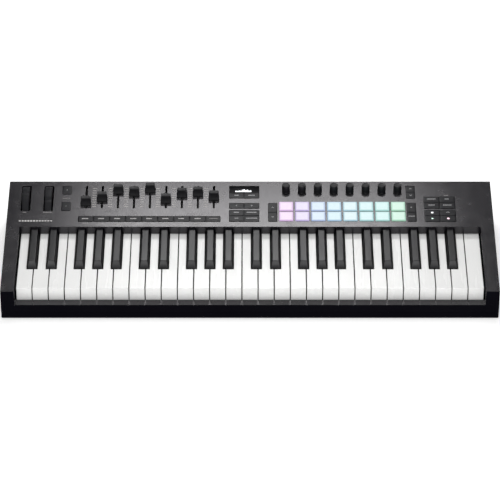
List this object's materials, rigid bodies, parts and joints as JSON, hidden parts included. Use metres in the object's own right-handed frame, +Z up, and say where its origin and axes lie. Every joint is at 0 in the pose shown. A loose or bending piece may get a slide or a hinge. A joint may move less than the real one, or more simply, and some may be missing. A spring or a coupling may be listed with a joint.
{
  "type": "midi keyboard",
  "caption": "Wide low keyboard controller with piano keys between two cheeks and a sloping panel of wheels, faders, knobs, lit pads, buttons and a small screen.",
  "frame": {"origin": "on the ground under the middle of the case: the middle of the bounding box's bottom face", "axes": "+X to the player's right along the keys, -Y towards the player, +Z up"},
  "size_m": [0.727, 0.2606, 0.0803],
  "materials": {
    "case_plastic": "dark grey moulded plastic, fine matt texture",
    "bottom_plastic": "black moulded plastic, matt",
    "white_key_plastic": "white moulded plastic, satin gloss",
    "black_key_plastic": "black moulded plastic, satin",
    "control_plastic": "black moulded plastic, satin",
    "button_rubber": "dark silicone rubber, matt",
    "pad_silicone": "translucent white silicone, lit from below",
    "foot_rubber": "black rubber, matt",
    "window_plastic": "black glossy window",
    "board_laminate": "green circuit board laminate",
    "chassis_plastic": "dark moulded plastic"
  },
  "bodies": {
    "case": {"top_cover": "case_plastic", "bottom_cover": "bottom_plastic", "key_chassis": "chassis_plastic", "key_contact_board": "board_laminate", "panel_board": "board_laminate", "display_window": "window_plastic", "rear_socket_board": "board_laminate", "foot_front_left": "foot_rubber", "foot_front_right": "foot_rubber", "foot_rear_left": "foot_rubber", "foot_rear_right": "foot_rubber"},
    "white_keys_octave_1": {"white_keys_octave_1": "white_key_plastic"},
    "black_keys_octave_1": {"black_keys_octave_1": "black_key_plastic"},
    "white_keys_octave_2": {"white_keys_octave_2": "white_key_plastic"},
    "black_keys_octave_2": {"black_keys_octave_2": "black_key_plastic"},
    "key_c": {"key_c": "white_key_plastic"},
    "key_d": {"key_d": "white_key_plastic"},
    "key_e": {"key_e": "white_key_plastic"},
    "key_f": {"key_f": "white_key_plastic"},
    "key_g": {"key_g": "white_key_plastic"},
    "key_a": {"key_a": "white_key_plastic"},
    "key_b": {"key_b": "white_key_plastic"},
    "key_c_sharp": {"key_c_sharp": "black_key_plastic"},
    "key_d_sharp": {"key_d_sharp": "black_key_plastic"},
    "key_f_sharp": {"key_f_sharp": "black_key_plastic"},
    "key_g_sharp": {"key_g_sharp": "black_key_plastic"},
    "key_a_sharp": {"key_a_sharp": "black_key_plastic"},
    "white_keys_octave_4": {"white_keys_octave_4": "white_key_plastic"},
    "black_keys_octave_4": {"black_keys_octave_4": "black_key_plastic"},
    "key_high_c": {"key_high_c": "white_key_plastic"},
    "pitch_wheel": {"pitch_wheel": "control_plastic"},
    "mod_wheel": {"mod_wheel": "control_plastic"},
    "fader_cap_1": {"fader_cap_1": "control_plastic"},
    "fader_cap_2": {"fader_cap_2": "control_plastic"},
    "fader_cap_3": {"fader_cap_3": "control_plastic"},
    "fader_cap_4": {"fader_cap_4": "control_plastic"},
    "fader_cap_5": {"fader_cap_5": "control_plastic"},
    "fader_cap_6": {"fader_cap_6": "control_plastic"},
    "fader_cap_7": {"fader_cap_7": "control_plastic"},
    "fader_cap_8": {"fader_cap_8": "control_plastic"},
    "fader_cap_9": {"fader_cap_9": "control_plastic"},
    "knob_1": {"knob_1": "control_plastic"},
    "knob_2": {"knob_2": "control_plastic"},
    "knob_3": {"knob_3": "control_plastic"},
    "knob_4": {"knob_4": "control_plastic"},
    "knob_5": {"knob_5": "control_plastic"},
    "knob_6": {"knob_6": "control_plastic"},
    "knob_7": {"knob_7": "control_plastic"},
    "knob_8": {"knob_8": "control_plastic"},
    "octave_up_button": {"octave_up_button": "button_rubber"},
    "octave_down_button": {"octave_down_button": "button_rubber"},
    "fader_buttons": {"fader_buttons": "button_rubber"},
    "display_buttons": {"display_buttons": "button_rubber"},
    "mode_buttons": {"mode_buttons": "button_rubber"},
    "pad_page_buttons": {"pad_page_buttons": "button_rubber"},
    "scene_buttons": {"scene_buttons": "button_rubber"},
    "knob_page_buttons": {"knob_page_buttons": "button_rubber"},
    "edit_buttons": {"edit_buttons": "button_rubber"},
    "transport_buttons": {"transport_buttons": "button_rubber"},
    "pad_mat": {"pad_mat": "pad_silicone"}
  },
  "joints": [
    {"name": "white_keys_octave_1_turn", "type": "hinge", "parent": "case", "child": "white_keys_octave_1", "pos_m": [-0.25927, 0.0397, 0.04], "axis": [1, 0, 0], "range_deg": [0, 3.6], "stiffness_Nm_per_rad": 2.8, "springref_deg": -17.19},
    {"name": "black_keys_octave_1_turn", "type": "hinge", "parent": "case", "child": "black_keys_octave_1", "pos_m": [-0.25927, 0.0397, 0.04], "axis": [1, 0, 0], "range_deg": [0, 3.6], "stiffness_Nm_per_rad": 2, "springref_deg": -17.19},
    {"name": "white_keys_octave_2_turn", "type": "hinge", "parent": "case", "child": "white_keys_octave_2", "pos_m": [-0.09428, 0.0397, 0.04], "axis": [1, 0, 0], "range_deg": [0, 3.6], "stiffness_Nm_per_rad": 2.8, "springref_deg": -17.19},
    {"name": "black_keys_octave_2_turn", "type": "hinge", "parent": "case", "child": "black_keys_octave_2", "pos_m": [-0.09428, 0.0397, 0.04], "axis": [1, 0, 0], "range_deg": [0, 3.6], "stiffness_Nm_per_rad": 2, "springref_deg": -17.19},
    {"name": "key_c_turn", "type": "hinge", "parent": "case", "child": "key_c", "pos_m": [0, 0.0397, 0.04], "axis": [1, 0, 0], "range_deg": [0, 3.6], "stiffness_Nm_per_rad": 0.4, "springref_deg": -17.19},
    {"name": "key_d_turn", "type": "hinge", "parent": "case", "child": "key_d", "pos_m": [0.02357, 0.0397, 0.04], "axis": [1, 0, 0], "range_deg": [0, 3.6], "stiffness_Nm_per_rad": 0.4, "springref_deg": -17.19},
    {"name": "key_e_turn", "type": "hinge", "parent": "case", "child": "key_e", "pos_m": [0.04714, 0.0397, 0.04], "axis": [1, 0, 0], "range_deg": [0, 3.6], "stiffness_Nm_per_rad": 0.4, "springref_deg": -17.19},
    {"name": "key_f_turn", "type": "hinge", "parent": "case", "child": "key_f", "pos_m": [0.07071, 0.0397, 0.04], "axis": [1, 0, 0], "range_deg": [0, 3.6], "stiffness_Nm_per_rad": 0.4, "springref_deg": -17.19},
    {"name": "key_g_turn", "type": "hinge", "parent": "case", "child": "key_g", "pos_m": [0.09428, 0.0397, 0.04], "axis": [1, 0, 0], "range_deg": [0, 3.6], "stiffness_Nm_per_rad": 0.4, "springref_deg": -17.19},
    {"name": "key_a_turn", "type": "hinge", "parent": "case", "child": "key_a", "pos_m": [0.11785, 0.0397, 0.04], "axis": [1, 0, 0], "range_deg": [0, 3.6], "stiffness_Nm_per_rad": 0.4, "springref_deg": -17.19},
    {"name": "key_b_turn", "type": "hinge", "parent": "case", "child": "key_b", "pos_m": [0.14142, 0.0397, 0.04], "axis": [1, 0, 0], "range_deg": [0, 3.6], "stiffness_Nm_per_rad": 0.4, "springref_deg": -17.19},
    {"name": "key_c_sharp_turn", "type": "hinge", "parent": "case", "child": "key_c_sharp", "pos_m": [0.00938, 0.0397, 0.04], "axis": [1, 0, 0], "range_deg": [0, 3.6], "stiffness_Nm_per_rad": 0.4, "springref_deg": -17.19},
    {"name": "key_d_sharp_turn", "type": "hinge", "parent": "case", "child": "key_d_sharp", "pos_m": [0.03766, 0.0397, 0.04], "axis": [1, 0, 0], "range_deg": [0, 3.6], "stiffness_Nm_per_rad": 0.4, "springref_deg": -17.19},
    {"name": "key_f_sharp_turn", "type": "hinge", "parent": "case", "child": "key_f_sharp", "pos_m": [0.0789, 0.0397, 0.04], "axis": [1, 0, 0], "range_deg": [0, 3.6], "stiffness_Nm_per_rad": 0.4, "springref_deg": -17.19},
    {"name": "key_g_sharp_turn", "type": "hinge", "parent": "case", "child": "key_g_sharp", "pos_m": [0.10607, 0.0397, 0.04], "axis": [1, 0, 0], "range_deg": [0, 3.6], "stiffness_Nm_per_rad": 0.4, "springref_deg": -17.19},
    {"name": "key_a_sharp_turn", "type": "hinge", "parent": "case", "child": "key_a_sharp", "pos_m": [0.13314, 0.0397, 0.04], "axis": [1, 0, 0], "range_deg": [0, 3.6], "stiffness_Nm_per_rad": 0.4, "springref_deg": -17.19},
    {"name": "white_keys_octave_4_turn", "type": "hinge", "parent": "case", "child": "white_keys_octave_4", "pos_m": [0.2357, 0.0397, 0.04], "axis": [1, 0, 0], "range_deg": [0, 3.6], "stiffness_Nm_per_rad": 2.8, "springref_deg": -17.19},
    {"name": "black_keys_octave_4_turn", "type": "hinge", "parent": "case", "child": "black_keys_octave_4", "pos_m": [0.2357, 0.0397, 0.04], "axis": [1, 0, 0], "range_deg": [0, 3.6], "stiffness_Nm_per_rad": 2, "springref_deg": -17.19},
    {"name": "key_high_c_turn", "type": "hinge", "parent": "case", "child": "key_high_c", "pos_m": [0.32998, 0.0397, 0.04], "axis": [1, 0, 0], "range_deg": [0, 3.6], "stiffness_Nm_per_rad": 0.4, "springref_deg": -17.19},
    {"name": "pitch_wheel_turn", "type": "hinge", "parent": "case", "child": "pitch_wheel", "pos_m": [-0.3368, 0.08936, 0.04272], "axis": [1, 0, 0], "range_deg": [-30, 30], "stiffness_Nm_per_rad": 0.15},
    {"name": "mod_wheel_turn", "type": "hinge", "parent": "case", "child": "mod_wheel", "pos_m": [-0.3028, 0.08936, 0.04272], "axis": [1, 0, 0], "range_deg": [-52, 4]},
    {"name": "fader_cap_1_slide", "type": "slide", "parent": "case", "child": "fader_cap_1", "axis": [0, 0.998, 0.0628], "range_m": [-0.0032, 0.0418]},
    {"name": "fader_cap_2_slide", "type": "slide", "parent": "case", "child": "fader_cap_2", "axis": [0, 0.998, 0.0628], "range_m": [-0.0132, 0.0318]},
    {"name": "fader_cap_3_slide", "type": "slide", "parent": "case", "child": "fader_cap_3", "axis": [0, 0.998, 0.0628], "range_m": [-0.0315, 0.0135]},
    {"name": "fader_cap_4_slide", "type": "slide", "parent": "case", "child": "fader_cap_4", "axis": [0, 0.998, 0.0628], "range_m": [-0.0261, 0.0189]},
    {"name": "fader_cap_5_slide", "type": "slide", "parent": "case", "child": "fader_cap_5", "axis": [0, 0.998, 0.0628], "range_m": [-0.0348, 0.0102]},
    {"name": "fader_cap_6_slide", "type": "slide", "parent": "case", "child": "fader_cap_6", "axis": [0, 0.998, 0.0628], "range_m": [-0.0088, 0.0362]},
    {"name": "fader_cap_7_slide", "type": "slide", "parent": "case", "child": "fader_cap_7", "axis": [0, 0.998, 0.0628], "range_m": [-0.0227, 0.0223]},
    {"name": "fader_cap_8_slide", "type": "slide", "parent": "case", "child": "fader_cap_8", "axis": [0, 0.998, 0.0628], "range_m": [-0.0255, 0.0195]},
    {"name": "fader_cap_9_slide", "type": "slide", "parent": "case", "child": "fader_cap_9", "axis": [0, 0.998, 0.0628], "range_m": [-0.0158, 0.0292]},
    {"name": "knob_1_turn", "type": "hinge", "parent": "case", "child": "knob_1", "pos_m": [0.0542, 0.10284, 0.06427], "axis": [0, -0.0628, 0.998], "continuous": true},
    {"name": "knob_2_turn", "type": "hinge", "parent": "case", "child": "knob_2", "pos_m": [0.0782, 0.10284, 0.06427], "axis": [0, -0.0628, 0.998], "continuous": true},
    {"name": "knob_3_turn", "type": "hinge", "parent": "case", "child": "knob_3", "pos_m": [0.1022, 0.10284, 0.06427], "axis": [0, -0.0628, 0.998], "continuous": true},
    {"name": "knob_4_turn", "type": "hinge", "parent": "case", "child": "knob_4", "pos_m": [0.1262, 0.10284, 0.06427], "axis": [0, -0.0628, 0.998], "continuous": true},
    {"name": "knob_5_turn", "type": "hinge", "parent": "case", "child": "knob_5", "pos_m": [0.1502, 0.10284, 0.06427], "axis": [0, -0.0628, 0.998], "continuous": true},
    {"name": "knob_6_turn", "type": "hinge", "parent": "case", "child": "knob_6", "pos_m": [0.1742, 0.10284, 0.06427], "axis": [0, -0.0628, 0.998], "continuous": true},
    {"name": "knob_7_turn", "type": "hinge", "parent": "case", "child": "knob_7", "pos_m": [0.1982, 0.10284, 0.06427], "axis": [0, -0.0628, 0.998], "continuous": true},
    {"name": "knob_8_turn", "type": "hinge", "parent": "case", "child": "knob_8", "pos_m": [0.2222, 0.10284, 0.06427], "axis": [0, -0.0628, 0.998], "continuous": true},
    {"name": "octave_up_button_slide", "type": "slide", "parent": "case", "child": "octave_up_button", "axis": [0, 0.0628, -0.998], "range_m": [0, 0.0008], "stiffness_N_per_m": 400, "springref_m": -0.001},
    {"name": "octave_down_button_slide", "type": "slide", "parent": "case", "child": "octave_down_button", "axis": [0, 0.0628, -0.998], "range_m": [0, 0.0008], "stiffness_N_per_m": 400, "springref_m": -0.001},
    {"name": "fader_buttons_slide", "type": "slide", "parent": "case", "child": "fader_buttons", "axis": [0, 0.0628, -0.998], "range_m": [0, 0.0008], "stiffness_N_per_m": 1200, "springref_m": -0.001},
    {"name": "display_buttons_slide", "type": "slide", "parent": "case", "child": "display_buttons", "axis": [0, 0.0628, -0.998], "range_m": [0, 0.0008], "stiffness_N_per_m": 400, "springref_m": -0.001},
    {"name": "mode_buttons_slide", "type": "slide", "parent": "case", "child": "mode_buttons", "axis": [0, 0.0628, -0.998], "range_m": [0, 0.0008], "stiffness_N_per_m": 1200, "springref_m": -0.001},
    {"name": "pad_page_buttons_slide", "type": "slide", "parent": "case", "child": "pad_page_buttons", "axis": [0, 0.0628, -0.998], "range_m": [0, 0.0008], "stiffness_N_per_m": 400, "springref_m": -0.001},
    {"name": "scene_buttons_slide", "type": "slide", "parent": "case", "child": "scene_buttons", "axis": [0, 0.0628, -0.998], "range_m": [0, 0.0008], "stiffness_N_per_m": 400, "springref_m": -0.001},
    {"name": "knob_page_buttons_slide", "type": "slide", "parent": "case", "child": "knob_page_buttons", "axis": [0, 0.0628, -0.998], "range_m": [0, 0.0008], "stiffness_N_per_m": 400, "springref_m": -0.001},
    {"name": "edit_buttons_slide", "type": "slide", "parent": "case", "child": "edit_buttons", "axis": [0, 0.0628, -0.998], "range_m": [0, 0.0008], "stiffness_N_per_m": 1200, "springref_m": -0.001},
    {"name": "transport_buttons_slide", "type": "slide", "parent": "case", "child": "transport_buttons", "axis": [0, 0.0628, -0.998], "range_m": [0, 0.0008], "stiffness_N_per_m": 1200, "springref_m": -0.001},
    {"name": "pad_mat_slide", "type": "slide", "parent": "case", "child": "pad_mat", "axis": [0, 0.0628, -0.998], "range_m": [0, 0.0008], "stiffness_N_per_m": 3000, "springref_m": -0.001}
  ]
}
